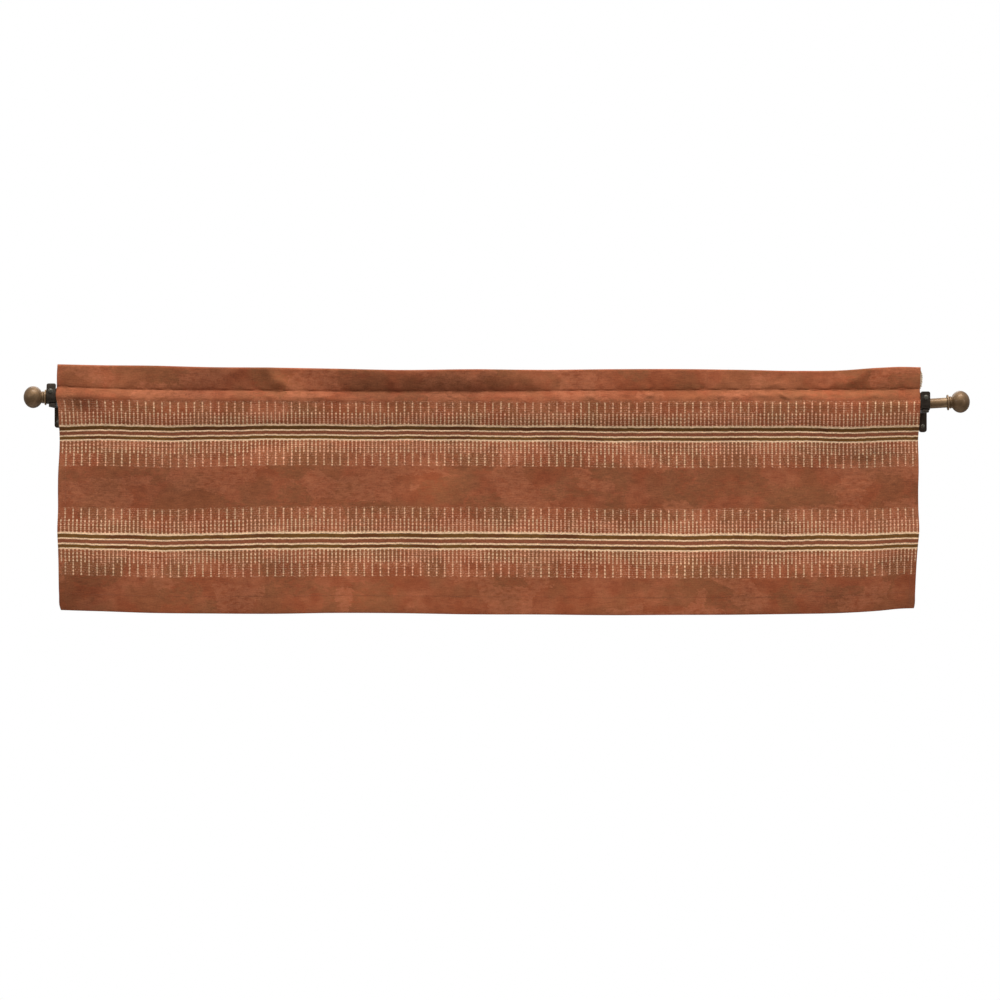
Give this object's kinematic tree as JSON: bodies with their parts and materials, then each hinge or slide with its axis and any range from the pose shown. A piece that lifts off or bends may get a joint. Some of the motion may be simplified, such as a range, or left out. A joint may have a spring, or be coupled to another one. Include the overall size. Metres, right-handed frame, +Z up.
{
  "type": "window valance on a curtain rod",
  "caption": "Straight striped rod-pocket window valance with a standing heading, hung on a round curtain rod with ball finials and cup brackets.",
  "frame": {"origin": "on the wall plane, midway between the two bracket cups at the mean height of the rod, as the mount wall", "axes": "+X along the rod to the right as seen from the room, -Y out of the wall towards the room, +Z up"},
  "size_m": [1.5032, 0.0892, 0.3979],
  "materials": {
    "face_cloth": "matte printed cloth, rust ground with cream, olive brown and brick stripes",
    "cream_lining": "plain matte cream lining cloth",
    "bronze": "satin antique bronze",
    "black_steel": "satin black paint",
    "dark_screw": "dark satin"
  },
  "bodies": {
    "root": {"valance_face": "face_cloth", "pocket_lining": "cream_lining", "rod": "bronze", "finial_left": "bronze", "finial_right": "bronze", "bracket_left": "black_steel", "bracket_right": "black_steel", "cup_screw_left": "dark_screw", "cup_screw_right": "dark_screw", "wall_screw_left_upper": "dark_screw", "wall_screw_left_lower": "dark_screw", "wall_screw_right_upper": "dark_screw", "wall_screw_right_lower": "dark_screw"}
  },
  "joints": []
}
